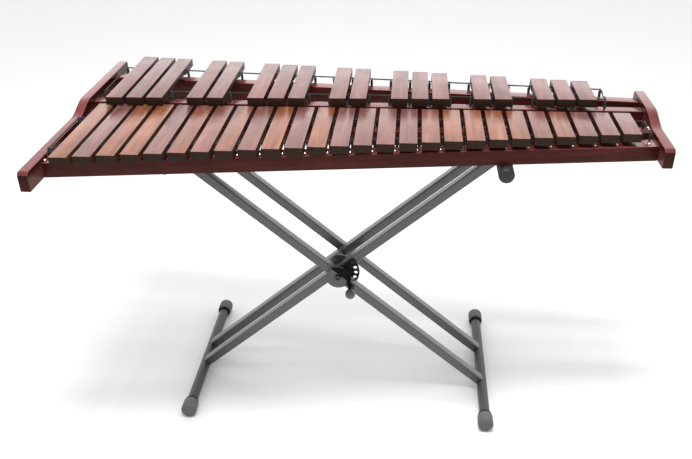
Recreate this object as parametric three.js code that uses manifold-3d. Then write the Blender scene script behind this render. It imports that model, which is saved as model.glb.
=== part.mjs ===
// A 3.5 octave practice xylophone on a folding double-X stand. Millimetres, +X right (treble), +Y away from
// the player, +Z up. The origin is on the floor, under the middle of the object's box.
import * as THREE from "three";
import { mergeVertices } from "three/addons/utils/BufferGeometryUtils.js";
import Module from "manifold-3d";

const wasm = await Module();
wasm.setup();

// ---------- driving dimensions ----------
const GAP = 0.3; // air between pieces that touch
const OVERLAP = 1; // how far a joined or cutting shape passes the face it meets

// Bars. Both rows share one width, thickness and pitch; each row's ends lie on straight lines y = a + b x.
const BAR_WIDTH = 38;
const BAR_THICKNESS = 19;
const PITCH = 47;
const NATURAL_COUNT = 26;
const FIRST_NATURAL_X = -592;
const NATURAL_TOP = 740;
const ACCIDENTAL_TOP = 761.5;
const NATURAL_FRONT = { a: -191.7, b: 0.1525 };
const NATURAL_REAR = { a: 16.3, b: 0 };
const ACCIDENTAL_FRONT = { a: 19.9, b: 0.0337 };
const ACCIDENTAL_REAR = { a: 226, b: -0.1253 };
const ACCIDENTAL_GROUPS = [
  [1, 3],
  [5, 2],
  [8, 3],
  [12, 2],
  [15, 3],
  [19, 2],
  [22, 3],
]; // first natural on the group's left, bars in the group
const NODE_SHARE = 0.224; // a free bar's node, as a share of its length
const ARCH_DEEP = 9; // hollow under the longest bar
const ARCH_SHALLOW = 3; // hollow under the shortest bar
const LONGEST_BAR = 298;
const SHORTEST_BAR = 119;
const ARCH_MARGIN = 8; // flat wood between a node and the arch

// Cords and the posts that hold them
const CORD_RADIUS = 1.6;
const CORD_HOLE_RADIUS = 3;
const POST_RADIUS = 1.8;
const POST_SINK = 2;
const DOUBLE_POST_GAP = 17; // the gap between naturals that has two posts
const DOUBLE_POST_SPREAD = 2.3;
const END_POST_REACH = 45; // a row's end bars' middles to its end posts
const CORD_END_GAP = 14;

// Wooden frame
const FRAME_WIDTH = 1330;
const END_THICKNESS = 22;
const FRAME_BOTTOM = 678;
const END_LOW_TOP = 721.5;
const END_HIGH_TOP = 743;
const END_STEP_FRONT = -34; // the S-curve between the two heights
const END_STEP_REAR = 46;
const END_REAR_ROUND = 8;
const NOSE_BEVEL = 10;
const LEFT_END = { front: -318, rear: 318 };
const RIGHT_END = { front: -138, rear: 156 };
// ahead and behind are measured from the row's node line, which the posts stand on
const RAILS = {
  natural_front_rail: { top: 712, ahead: 31, behind: 6 },
  natural_rear_rail: { top: 712, ahead: 22, behind: 14 },
  accidental_front_rail: { top: 728, ahead: 9, behind: 17 },
  accidental_rear_rail: { top: 733, ahead: 21, behind: 7 },
};

// Stand
const STAND_X = -48;
const STAND_Y = -4;
const HALF_SPREAD = 371; // stand's middle to a foot bar
const FOOT_RADIUS = 12.7;
const FOOT_HALF_LENGTH = 232;
const CAP_APOTHEM = 19;
const CAP_LENGTH = 45;
const ARM_RADIUS = 12.7;
const SLEEVE_RADIUS = 17.5;
const SLEEVE_LENGTH = 70;
const ARM_HALF_LENGTH = 156;
const LEG_WIDTH = 24;
const LEG_HEIGHT = 22;
const LEG_WALL = 2;
const OUTER_LEG_Y = 65.2; // stand's middle to a tube's middle
const INNER_LEG_Y = 36.5;

// Clutch
const BOLT_RADIUS = 5;
const BOLT_HEAD_RADIUS = 7.5;
const BOLT_HEAD_HEIGHT = 5;
const SPACER_RADIUS = 10;
const HUB_PLATE_RADIUS = 30;
const HUB_PLATE_THICKNESS = 3;
const DISC_RADIUS = 51;
const DISC_THICKNESS = 3;
const DISC_HOLE_CIRCLE = 42;
const DISC_HOLE_RADIUS = 4.2;
const DISC_HOLE_STEP = 19; // degrees
const DISC_HOLES_ABOVE_PIN = 4;
const DISC_HUB_RADIUS = 14;
const DISC_FROM = -60; // degrees, round the pivot
const DISC_TO = 48;
const PIN_RADIUS = 3;
const BARREL_RADIUS = 7.5;
const BARREL_LENGTH = 16;
const KNOB_RADIUS = 12.5;
const COVER_RADIUS = 32;
const COVER_CHORD = 11; // the tube's middle line to the cover's straight edge
const COVER_TONGUE_START = 27; // the pivot to the tongue that reaches down to the pin's barrel
const COVER_TONGUE_END = 37;
const COVER_THICKNESS = 6;

// Facets
const LARGE_ROUND = 24;
const ROUND = 12;
const SMALL_ROUND = 8;
const HEXAGON = 6;

// ---------- derived places ----------
const INNER_FACE = FRAME_WIDTH / 2 - END_THICKNESS;
const FOOT_Z = CAP_APOTHEM;
const ARM_Z = FRAME_BOTTOM - GAP - SLEEVE_RADIUS;
const PIVOT_Z = (FOOT_Z + ARM_Z) / 2;
const LEFT_X = STAND_X - HALF_SPREAD;
const RIGHT_X = STAND_X + HALF_SPREAD;
const LEG_ANGLE = Math.atan2(ARM_Z - FOOT_Z, 2 * HALF_SPREAD);
const NATURAL_CORD_Z = NATURAL_TOP - BAR_THICKNESS / 2;
const ACCIDENTAL_CORD_Z = ACCIDENTAL_TOP - BAR_THICKNESS / 2;
const OUTER_FRONT_FACE = STAND_Y - OUTER_LEG_Y - LEG_WIDTH / 2;
const HUB_FACE = OUTER_FRONT_FACE - HUB_PLATE_THICKNESS;
const INNER_FRONT_TUBE_REAR = STAND_Y - INNER_LEG_Y + LEG_WIDTH / 2;
const INNER_HUB_REAR = INNER_FRONT_TUBE_REAR + HUB_PLATE_THICKNESS;
const DISC_REAR = STAND_Y - INNER_LEG_Y - LEG_WIDTH / 2 - GAP;

// ---------- materials ----------
const barWood = new THREE.MeshStandardMaterial({ color: 0x8f4a2e, roughness: 0.32 });
const frameWood = new THREE.MeshStandardMaterial({ color: 0x5a1f1c, roughness: 0.2 });
const cordFabric = new THREE.MeshStandardMaterial({ color: 0x23201f, roughness: 0.9 });
const standSteel = new THREE.MeshStandardMaterial({ color: 0x5c5d5f, roughness: 0.5, metalness: 0.3 });
const boltSteel = new THREE.MeshStandardMaterial({ color: 0x8d8f92, roughness: 0.35, metalness: 0.9 });
const blackPlastic = new THREE.MeshStandardMaterial({ color: 0x1b1b1c, roughness: 0.45 });
const blackSteel = new THREE.MeshStandardMaterial({ color: 0x222324, roughness: 0.4, metalness: 0.4 });

// ---------- helpers ----------
const at = (line, x) => line.a + line.b * x;
const lastOf = (list) => list[list.length - 1];
const radians = THREE.MathUtils.degToRad;
const vector = (x, y, z) => new THREE.Vector3(x, y, z);

function solid(geometry) {
  const bare = geometry.clone();
  bare.deleteAttribute("normal");
  bare.deleteAttribute("uv");
  const merged = mergeVertices(bare, 1e-3);
  return new wasm.Manifold(
    new wasm.Mesh({
      numProp: 3,
      vertProperties: merged.attributes.position.array,
      triVerts: new Uint32Array(merged.index.array),
    }),
  );
}

function geometryOf(body) {
  const mesh = body.getMesh();
  const geometry = new THREE.BufferGeometry();
  geometry.setAttribute("position", new THREE.BufferAttribute(new Float32Array(mesh.vertProperties), 3));
  geometry.setIndex(new THREE.BufferAttribute(new Uint32Array(mesh.triVerts), 1));
  geometry.computeVertexNormals();
  return geometry;
}

const part = new THREE.Group();

function addNode(name, body, material) {
  const mesh = new THREE.Mesh(geometryOf(body), material);
  mesh.name = name;
  part.add(mesh);
}

// A straight round rod between two points. With sides = 12 a flat faces straight down on a level rod.
function rod(from, to, radius, sides = ROUND) {
  const along = to.clone().sub(from);
  const geometry = new THREE.CylinderGeometry(radius, radius, along.length(), sides);
  geometry.rotateY(Math.PI / sides);
  const turn = new THREE.Quaternion().setFromUnitVectors(vector(0, 1, 0), along.normalize());
  geometry.applyQuaternion(turn);
  const middle = from.clone().add(to).multiplyScalar(0.5);
  geometry.translate(middle.x, middle.y, middle.z);
  return solid(geometry);
}

// A side outline in (y, z), carried from x to x + width.
function sideExtrusion(outline, x, width, curveSegments = 6) {
  const geometry = new THREE.ExtrudeGeometry(outline, { depth: width, bevelEnabled: false, curveSegments });
  geometry.applyMatrix4(
    new THREE.Matrix4().makeBasis(vector(0, 1, 0), vector(0, 0, 1), vector(1, 0, 0)).setPosition(x, 0, 0),
  );
  return solid(geometry);
}

// A front outline in (x, z), carried from y towards -y by depth.
function frontExtrusion(outline, y, depth, curveSegments = 6) {
  const geometry = new THREE.ExtrudeGeometry(outline, { depth, bevelEnabled: false, curveSegments });
  geometry.rotateX(Math.PI / 2);
  geometry.translate(0, y, 0);
  return solid(geometry);
}

function box(size, middle, turnY = 0) {
  const geometry = new THREE.BoxGeometry(size.x, size.y, size.z);
  geometry.rotateY(turnY);
  geometry.translate(middle.x, middle.y, middle.z);
  return solid(geometry);
}

// ---------- node lines ----------
function nodeLine(front, rear, share) {
  return { a: front.a + (rear.a - front.a) * share, b: front.b + (rear.b - front.b) * share };
}
const NODE_LINES = {
  natural_front_rail: nodeLine(NATURAL_FRONT, NATURAL_REAR, NODE_SHARE),
  natural_rear_rail: nodeLine(NATURAL_FRONT, NATURAL_REAR, 1 - NODE_SHARE),
  accidental_front_rail: nodeLine(ACCIDENTAL_FRONT, ACCIDENTAL_REAR, NODE_SHARE),
  accidental_rear_rail: nodeLine(ACCIDENTAL_FRONT, ACCIDENTAL_REAR, 1 - NODE_SHARE),
};

// ---------- bars ----------
const naturalXs = Array.from({ length: NATURAL_COUNT }, (_, i) => FIRST_NATURAL_X + PITCH * i);
const accidentalXs = ACCIDENTAL_GROUPS.flatMap(([first, count]) =>
  Array.from({ length: count }, (_, i) => FIRST_NATURAL_X + PITCH * (first + i - 0.5)),
);

function barSolid(x, front, rear, top, lines) {
  const length = rear - front;
  const bottom = top - BAR_THICKNESS;
  const share = (length - SHORTEST_BAR) / (LONGEST_BAR - SHORTEST_BAR);
  const arch = ARCH_SHALLOW + (ARCH_DEEP - ARCH_SHALLOW) * share;
  const archStart = front + length * NODE_SHARE + ARCH_MARGIN;
  const archEnd = rear - length * NODE_SHARE - ARCH_MARGIN;
  const outline = new THREE.Shape();
  outline.moveTo(front, bottom);
  outline.lineTo(archStart, bottom);
  outline.quadraticCurveTo((archStart + archEnd) / 2, bottom + 2 * arch, archEnd, bottom);
  outline.lineTo(rear, bottom);
  outline.lineTo(rear, top);
  outline.lineTo(front, top);
  let body = sideExtrusion(outline, x - BAR_WIDTH / 2, BAR_WIDTH);
  const z = top - BAR_THICKNESS / 2;
  for (const line of lines) {
    const from = vector(x - BAR_WIDTH, at(line, x - BAR_WIDTH), z);
    const to = vector(x + BAR_WIDTH, at(line, x + BAR_WIDTH), z);
    body = body.subtract(rod(from, to, CORD_HOLE_RADIUS, SMALL_ROUND));
  }
  return body;
}

function addBars(kind, xs, frontLine, rearLine, top) {
  const lines = [NODE_LINES[kind + "_front_rail"], NODE_LINES[kind + "_rear_rail"]];
  xs.forEach((x, i) => {
    const name = kind + "_bar_" + String(i + 1).padStart(2, "0");
    addNode(name, barSolid(x, at(frontLine, x), at(rearLine, x), top, lines), barWood);
  });
}
addBars("natural", naturalXs, NATURAL_FRONT, NATURAL_REAR, NATURAL_TOP);
addBars("accidental", accidentalXs, ACCIDENTAL_FRONT, ACCIDENTAL_REAR, ACCIDENTAL_TOP);

// ---------- posts and rails ----------
// The posts stand between the bars, and a row's first and last pair stand a little farther out.
function spreadEnds(xs, barXs) {
  const lowest = barXs[0];
  const highest = lastOf(barXs);
  return xs.map((x) => {
    if (x < lowest) return lowest - END_POST_REACH;
    return x > highest ? highest + END_POST_REACH : x;
  });
}
const naturalPostXs = spreadEnds(
  Array.from({ length: NATURAL_COUNT + 1 }, (_, i) => FIRST_NATURAL_X + PITCH * (i - 0.5)).flatMap((x, i) =>
    i === DOUBLE_POST_GAP ? [x - DOUBLE_POST_SPREAD, x + DOUBLE_POST_SPREAD] : [x],
  ),
  naturalXs,
);
const accidentalPostXs = spreadEnds(
  ACCIDENTAL_GROUPS.flatMap(([first, count]) =>
    Array.from({ length: count + 1 }, (_, i) => FIRST_NATURAL_X + PITCH * (first + i - 1)),
  ),
  accidentalXs,
);

function railSolid(name, postXs, cordZ) {
  const { top, ahead, behind } = RAILS[name];
  const line = NODE_LINES[name];
  const reach = INNER_FACE - GAP;
  const plan = new THREE.Shape([
    new THREE.Vector2(-reach, at(line, -reach) - ahead),
    new THREE.Vector2(reach, at(line, reach) - ahead),
    new THREE.Vector2(reach, at(line, reach) + behind),
    new THREE.Vector2(-reach, at(line, -reach) + behind),
  ]);
  const slab = new THREE.ExtrudeGeometry(plan, { depth: top - FRAME_BOTTOM, bevelEnabled: false });
  slab.translate(0, 0, FRAME_BOTTOM);
  let body = solid(slab);
  for (const x of postXs) {
    const y = at(line, x);
    const foot = vector(x, y, top - POST_SINK);
    const tip = vector(x, y, cordZ - CORD_RADIUS - GAP);
    body = body.add(rod(foot, tip, POST_RADIUS, HEXAGON));
  }
  return body;
}

function addRails(kind, postXs, cordZ) {
  for (const name of [kind + "_front_rail", kind + "_rear_rail"]) {
    addNode(name, railSolid(name, postXs, cordZ), frameWood);
  }
}
addRails("natural", naturalPostXs, NATURAL_CORD_Z);
addRails("accidental", accidentalPostXs, ACCIDENTAL_CORD_Z);

// ---------- end pieces ----------
function endPiece({ front, rear }, x) {
  const stepMiddle = (END_STEP_FRONT + END_STEP_REAR) / 2;
  const outline = new THREE.Shape();
  outline.moveTo(front, FRAME_BOTTOM);
  outline.lineTo(rear, FRAME_BOTTOM);
  outline.lineTo(rear, END_HIGH_TOP - END_REAR_ROUND);
  outline.quadraticCurveTo(rear, END_HIGH_TOP, rear - END_REAR_ROUND, END_HIGH_TOP);
  outline.lineTo(END_STEP_REAR, END_HIGH_TOP);
  outline.bezierCurveTo(stepMiddle, END_HIGH_TOP, stepMiddle, END_LOW_TOP, END_STEP_FRONT, END_LOW_TOP);
  outline.lineTo(front + NOSE_BEVEL, END_LOW_TOP);
  outline.quadraticCurveTo(front, END_LOW_TOP, front, END_LOW_TOP - NOSE_BEVEL);
  return sideExtrusion(outline, x, END_THICKNESS, 5);
}
addNode("left_end_piece", endPiece(LEFT_END, -FRAME_WIDTH / 2), frameWood);
addNode("right_end_piece", endPiece(RIGHT_END, INNER_FACE), frameWood);

// ---------- cords ----------
// One cord per row: out along the rear node line, back along the front one, tied beside the last rear post.
function cordSolid(frontLine, rearLine, leftX, rightX, z) {
  const tie = vector(rightX, at(rearLine, rightX) - CORD_END_GAP, z);
  const corners = [
    vector(rightX, at(rearLine, rightX), z),
    vector(leftX, at(rearLine, leftX), z),
    vector(leftX, at(frontLine, leftX), z),
    vector(rightX, at(frontLine, rightX), z),
    tie,
  ];
  let body = null;
  for (let i = 1; i < corners.length; i++) {
    const run = rod(corners[i - 1], corners[i], CORD_RADIUS, SMALL_ROUND);
    const knee = new THREE.SphereGeometry(CORD_RADIUS, SMALL_ROUND, 4);
    knee.translate(corners[i].x, corners[i].y, corners[i].z);
    body = (body ? body.add(run) : run).add(solid(knee));
  }
  return body;
}
addNode(
  "natural_cord",
  cordSolid(
    NODE_LINES.natural_front_rail,
    NODE_LINES.natural_rear_rail,
    naturalPostXs[0],
    lastOf(naturalPostXs),
    NATURAL_CORD_Z,
  ),
  cordFabric,
);
addNode(
  "accidental_cord",
  cordSolid(
    NODE_LINES.accidental_front_rail,
    NODE_LINES.accidental_rear_rail,
    accidentalPostXs[0],
    lastOf(accidentalPostXs),
    ACCIDENTAL_CORD_Z,
  ),
  cordFabric,
);

// ---------- stand ----------
// A leg tube runs from its foot bar, at footX, to its arm, at armX; both ends stop on the bar's axis.
function legTube(footX, armX, y) {
  const length = Math.hypot(armX - footX, ARM_Z - FOOT_Z);
  const tilt = armX > footX ? -LEG_ANGLE : LEG_ANGLE;
  const middle = vector((footX + armX) / 2, y, PIVOT_Z);
  const shell = box(vector(length, LEG_WIDTH, LEG_HEIGHT), middle, tilt);
  const wall = 2 * LEG_WALL;
  const inside = box(vector(length + wall, LEG_WIDTH - wall, LEG_HEIGHT - wall), middle, tilt);
  return shell.subtract(inside);
}

function alongY(x, z, yFrom, yTo, radius, sides = ROUND) {
  return rod(vector(x, yFrom, z), vector(x, yTo, z), radius, sides);
}

function armSolid(x) {
  const front = STAND_Y - ARM_HALF_LENGTH;
  const rear = STAND_Y + ARM_HALF_LENGTH;
  const sleeve = SLEEVE_RADIUS / Math.cos(Math.PI / ROUND);
  return alongY(x, ARM_Z, front + OVERLAP, rear - OVERLAP, ARM_RADIUS)
    .add(alongY(x, ARM_Z, front, front + SLEEVE_LENGTH, SLEEVE_RADIUS))
    .add(alongY(x, ARM_Z, rear - SLEEVE_LENGTH, rear, SLEEVE_RADIUS))
    .intersect(alongY(x, ARM_Z, front, rear, sleeve));
}

function legFrame(footX, armX, legY) {
  const sides = [STAND_Y - legY, STAND_Y + legY];
  let body = armSolid(armX);
  for (const y of sides) body = body.add(legTube(footX, armX, y));
  const saddle = (FOOT_RADIUS + 2 * GAP) / Math.cos(Math.PI / ROUND);
  const reach = FOOT_HALF_LENGTH;
  body = body.subtract(alongY(footX, FOOT_Z, STAND_Y - reach, STAND_Y + reach, saddle));
  const boltHole = BOLT_RADIUS + 2 * GAP;
  return body.subtract(alongY(STAND_X, PIVOT_Z, STAND_Y - reach, STAND_Y + reach, boltHole));
}

// The pull pin's axis crosses the outer front tube on its middle line.
const PIN = {
  x: STAND_X + DISC_HOLE_CIRCLE * Math.cos(LEG_ANGLE),
  z: PIVOT_Z - DISC_HOLE_CIRCLE * Math.sin(LEG_ANGLE),
};

function outerLegFrame() {
  const cutFrom = HUB_FACE - OVERLAP;
  const insideTube = OUTER_FRONT_FACE + LEG_WALL + OVERLAP;
  const behindTube = OUTER_FRONT_FACE + LEG_WIDTH + OVERLAP;
  const hub = alongY(STAND_X, PIVOT_Z, HUB_FACE, OUTER_FRONT_FACE + OVERLAP, HUB_PLATE_RADIUS, LARGE_ROUND);
  const boltHole = alongY(STAND_X, PIVOT_Z, cutFrom, insideTube, BOLT_RADIUS + 2 * GAP);
  const pinHole = alongY(PIN.x, PIN.z, cutFrom, behindTube, PIN_RADIUS + OVERLAP);
  return legFrame(RIGHT_X, LEFT_X, OUTER_LEG_Y).add(hub).subtract(boltHole).subtract(pinHole);
}
addNode("outer_leg_frame", outerLegFrame(), standSteel);

// The inner frame's hub plate is on the rear of its front tube.
function innerLegFrame() {
  const cutFrom = INNER_FRONT_TUBE_REAR - LEG_WALL - OVERLAP;
  const hubFront = INNER_FRONT_TUBE_REAR - OVERLAP;
  const hub = alongY(STAND_X, PIVOT_Z, hubFront, INNER_HUB_REAR, HUB_PLATE_RADIUS, LARGE_ROUND);
  const boltHole = alongY(STAND_X, PIVOT_Z, cutFrom, INNER_HUB_REAR + OVERLAP, BOLT_RADIUS + 2 * GAP);
  return legFrame(LEFT_X, RIGHT_X, INNER_LEG_Y).add(hub).subtract(boltHole);
}
addNode("inner_leg_frame", innerLegFrame(), standSteel);

function footBar(x) {
  const front = STAND_Y - FOOT_HALF_LENGTH;
  const rear = STAND_Y + FOOT_HALF_LENGTH;
  const capRadius = CAP_APOTHEM / Math.cos(Math.PI / ROUND);
  return alongY(x, FOOT_Z, front + OVERLAP, rear - OVERLAP, FOOT_RADIUS)
    .add(alongY(x, FOOT_Z, front, front + CAP_LENGTH, capRadius))
    .add(alongY(x, FOOT_Z, rear - CAP_LENGTH, rear, capRadius));
}
addNode("left_foot_bar", footBar(LEFT_X), standSteel);
addNode("right_foot_bar", footBar(RIGHT_X), standSteel);

// ---------- clutch ----------
function pivotBolt() {
  const headRear = HUB_FACE - GAP;
  const nutFront = STAND_Y + OUTER_LEG_Y + LEG_WIDTH / 2 + GAP;
  const nutRear = nutFront + BOLT_HEAD_HEIGHT;
  const spacerRear = STAND_Y + INNER_LEG_Y - LEG_WIDTH / 2 - GAP;
  return alongY(STAND_X, PIVOT_Z, headRear - OVERLAP, nutFront + OVERLAP, BOLT_RADIUS)
    .add(alongY(STAND_X, PIVOT_Z, headRear - BOLT_HEAD_HEIGHT, headRear, BOLT_HEAD_RADIUS))
    .add(alongY(STAND_X, PIVOT_Z, nutFront, nutRear, BOLT_HEAD_RADIUS, HEXAGON))
    .add(alongY(STAND_X, PIVOT_Z, INNER_HUB_REAR + GAP, spacerRear, SPACER_RADIUS));
}
addNode("pivot_bolt", pivotBolt(), boltSteel);

function lockingDisc() {
  const front = DISC_REAR - DISC_THICKNESS;
  const outline = new THREE.Shape();
  outline.absarc(STAND_X, PIVOT_Z, DISC_RADIUS, radians(DISC_FROM), radians(DISC_TO), false);
  outline.absarc(STAND_X, PIVOT_Z, DISC_HUB_RADIUS, radians(DISC_TO), radians(DISC_FROM + 360), false);
  let body = frontExtrusion(outline, DISC_REAR, DISC_THICKNESS, 16);
  body = body.subtract(alongY(STAND_X, PIVOT_Z, front - OVERLAP, DISC_REAR + OVERLAP, BOLT_RADIUS + 2 * GAP));
  for (let i = 0; i <= DISC_HOLES_ABOVE_PIN; i++) {
    const turn = -LEG_ANGLE + radians(DISC_HOLE_STEP) * i;
    const x = STAND_X + DISC_HOLE_CIRCLE * Math.cos(turn);
    const z = PIVOT_Z + DISC_HOLE_CIRCLE * Math.sin(turn);
    body = body.subtract(alongY(x, z, front - OVERLAP, DISC_REAR + OVERLAP, DISC_HOLE_RADIUS, SMALL_ROUND));
  }
  return body;
}
addNode("locking_disc", lockingDisc(), blackSteel);

// A disc segment above the outer front tube, with a tongue down to the pull pin's barrel. Its outline is
// drawn with the first axis along the tube and the second away from it.
function clutchCover() {
  const rear = HUB_FACE - GAP;
  const corner = Math.asin(COVER_CHORD / COVER_RADIUS);
  const outline = new THREE.Shape();
  outline.moveTo(COVER_TONGUE_START, 0);
  outline.lineTo(COVER_TONGUE_END, 0);
  outline.absarc(0, 0, COVER_RADIUS, corner, Math.PI - corner, false);
  outline.lineTo(COVER_TONGUE_START, COVER_CHORD);
  const plate = frontExtrusion(outline, 0, COVER_THICKNESS, 12)
    .rotate([0, THREE.MathUtils.radToDeg(LEG_ANGLE), 0])
    .translate([STAND_X, rear, PIVOT_Z]);
  const barrel = alongY(PIN.x, PIN.z, rear - BARREL_LENGTH, rear, BARREL_RADIUS);
  const bore = alongY(PIN.x, PIN.z, rear - BARREL_LENGTH - OVERLAP, rear + OVERLAP, PIN_RADIUS + 2 * GAP);
  return plate.add(barrel).subtract(bore);
}
addNode("clutch_cover", clutchCover(), blackPlastic);

function releaseKnob() {
  const barrelFront = HUB_FACE - GAP - BARREL_LENGTH;
  const tip = DISC_REAR - DISC_THICKNESS - 2 * GAP;
  const ball = new THREE.SphereGeometry(KNOB_RADIUS, ROUND, SMALL_ROUND);
  ball.rotateX(Math.PI / 2);
  ball.translate(PIN.x, barrelFront - GAP - KNOB_RADIUS, PIN.z);
  return alongY(PIN.x, PIN.z, barrelFront - KNOB_RADIUS, tip, PIN_RADIUS, SMALL_ROUND).add(solid(ball));
}
addNode("release_knob", releaseKnob(), blackPlastic);

export default part;
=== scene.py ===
import math
import random

import bmesh
import bpy
from mathutils import Matrix, Vector


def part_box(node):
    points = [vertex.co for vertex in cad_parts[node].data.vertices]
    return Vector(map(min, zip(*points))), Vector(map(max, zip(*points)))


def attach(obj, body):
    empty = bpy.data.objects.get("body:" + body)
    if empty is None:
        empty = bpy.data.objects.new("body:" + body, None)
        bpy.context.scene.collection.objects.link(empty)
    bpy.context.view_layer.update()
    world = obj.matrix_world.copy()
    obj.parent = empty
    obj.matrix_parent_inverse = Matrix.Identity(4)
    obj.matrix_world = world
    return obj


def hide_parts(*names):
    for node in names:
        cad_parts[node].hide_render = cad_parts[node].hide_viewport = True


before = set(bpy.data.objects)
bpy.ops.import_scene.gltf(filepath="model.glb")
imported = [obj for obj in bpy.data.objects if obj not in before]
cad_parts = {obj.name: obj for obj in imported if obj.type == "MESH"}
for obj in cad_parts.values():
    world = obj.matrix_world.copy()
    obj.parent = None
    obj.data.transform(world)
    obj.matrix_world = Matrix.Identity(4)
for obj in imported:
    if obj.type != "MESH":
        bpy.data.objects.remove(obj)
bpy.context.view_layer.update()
random.seed(26)
MM = 0.001
TAU = 2 * math.pi
ALONG_Y, UPWARD = (0, 1, 0), (0, 0, 1)
GAP = 0.3 * MM  # air between neighbouring pieces
SHARP_ANGLE = math.radians(32)
DRILL_REACH = 300 * MM  # a cutter's ends, well outside every piece

# Bars
NODE_SHARE = 0.224  # a free bar's node, as a share of its length
BAR_THICKNESS = 19 * MM
BAR_EDGE = 1.3 * MM
CORD_DEPTH = 9.5 * MM  # below a bar's top
CORD_HOLE_RADIUS, CORD_HOLE_RIM = 3 * MM, 3.3 * MM
ARCH_SHALLOW, ARCH_DEEP = 3 * MM, 9 * MM  # hollow under the shortest and the longest bar
SHORTEST_BAR, LONGEST_BAR = 119 * MM, 298 * MM
ARCH_MARGIN = 8 * MM
ARCH_STEPS = 14
WARM_NATURALS = (1, 3, 4, 10, 12, 18, 19, 20, 21)
GREY_NATURALS = (2, 5, 11, 13, 16, 25, 26)
WARM_TONE, GREY_TONE = 0.85, 0.25
PLAIN_TONE, PLAIN_TONE_SPREAD = 0.40, 0.30
ACCIDENTAL_TONE_SPREAD = 0.25

# Rails and end pieces
RAIL_TOPS = {
    "natural_front_rail": 712 * MM,
    "natural_rear_rail": 712 * MM,
    "accidental_front_rail": 728 * MM,
    "accidental_rear_rail": 733 * MM,
}
RAIL_EDGE = 1.8 * MM
END_LOW_HEIGHT = 43.5 * MM
END_STEP_FRONT, END_STEP_REAR = -34 * MM, 46 * MM  # the S-curve between the two heights
END_STEP_STEPS = 14
END_NOSE, END_NOSE_STEPS = 10 * MM, 5
END_REAR_ROUND = 8 * MM
END_CHAMFER = 1.5 * MM
END_EDGE = 2.2 * MM

# Posts and cords
SLEEVE_RADIUS = 3.2 * MM
SLEEVE_LIFT = 0.6 * MM  # its foot, above the rail
SLEEVE_BELOW_CORD = 3.1 * MM
PAIR_SLEEVE_RADIUS = 2.1 * MM
PAIR_GAP = 17  # the place, among the naturals' post lines, that has two thin posts
PAIR_SPREAD = 2.3 * MM
WASHER_RIM, WASHER_RADIUS, WASHER_THICKNESS = 1.4 * MM, 4.2 * MM, 1.0 * MM
END_POST_REACH = 45 * MM  # a row's end bars' middles to its end posts
CORD_RADIUS, CORD_BEND = 1.6 * MM, 1.5 * MM
CORD_END_GAP = 14 * MM
SPRING_RADIUS, SPRING_WIRE = 2.1 * MM, 0.45 * MM
SPRING_LENGTH, SPRING_TURNS, SPRING_STEPS = 16 * MM, 5, 56
EYE_RADIUS, EYE_WIRE = 2.75 * MM, 0.85 * MM
PIN_ASIDE, PIN_AHEAD = 4.5 * MM, 17 * MM  # a post to the bright pin beside it

# Stand
LEG_Y = {"inner": 36.5 * MM, "outer": 65.2 * MM}
LEG_WIDTH, LEG_HEIGHT = 24 * MM, 22 * MM
LEG_WALL = 2 * MM
LEG_CORNER, LEG_INNER_CORNER = 3 * MM, 1.2 * MM
TUBE_RADIUS = 12.7 * MM
FOOT_SADDLE, ARM_SADDLE = 13.3 * MM, 12.6 * MM  # the round cut-outs at a leg tube's ends
ARM_TUBE_REACH, ARM_REACH = 154 * MM, 156 * MM  # from the stand's middle
ARM_SLEEVE_RADIUS, ARM_SLEEVE_LENGTH = 17.4 * MM, 70 * MM
GROOVES, GROOVE_START, GROOVE_STEP = 5, 18 * MM, 10 * MM
FOOT_TUBE_INSET = 20 * MM  # the foot bar's tube ends inside its caps

# Clutch
PLATE = 3 * MM
PLATE_EDGE = 0.5 * MM
BOLT_RADIUS, BOLT_HOLE = 5 * MM, 5.8 * MM
BOLT_HEAD_LENGTH, BOLT_HEAD_RADIUS = 4.9 * MM, 7.4 * MM
NUT_LENGTH, NUT_RADIUS = 5 * MM, 7.3 * MM
SPACER_RADIUS = 10 * MM
HUB_RADIUS = 30 * MM
PIN_HOLE = 4 * MM
DISC_RADIUS, DISC_HUB = 51 * MM, 14 * MM
DISC_FROM, DISC_TO = -60, 48  # degrees, round the pivot
DISC_HOLES = 5
DISC_HOLE_STEP = 19  # degrees
DISC_HOLE_RADIUS = 4.3 * MM
DISC_HOLE_CIRCLE = 42 * MM
COVER_RADIUS, COVER_CHORD, COVER_STEPS = 32 * MM, 11 * MM, 24
COVER_TONGUE = (27 * MM, 37 * MM)
COVER_THICKNESS, COVER_EDGE = 6 * MM, 1.6 * MM
BARREL_RADIUS, BARREL_LENGTH, BARREL_BORE = 7.5 * MM, 16 * MM, 3.7 * MM
PIN_RADIUS = 3 * MM
KNOB_RADIUS, KNOB_LIFT = 12.4 * MM, 0.1 * MM

# Camera
CAMERA_PLACE = (0.1144, -1.6568, 1.4025)
CAMERA_YAW, CAMERA_PITCH, CAMERA_ROLL = 0.08940, 0.53063, -0.01493
CAMERA_LENS = 40.58


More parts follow.
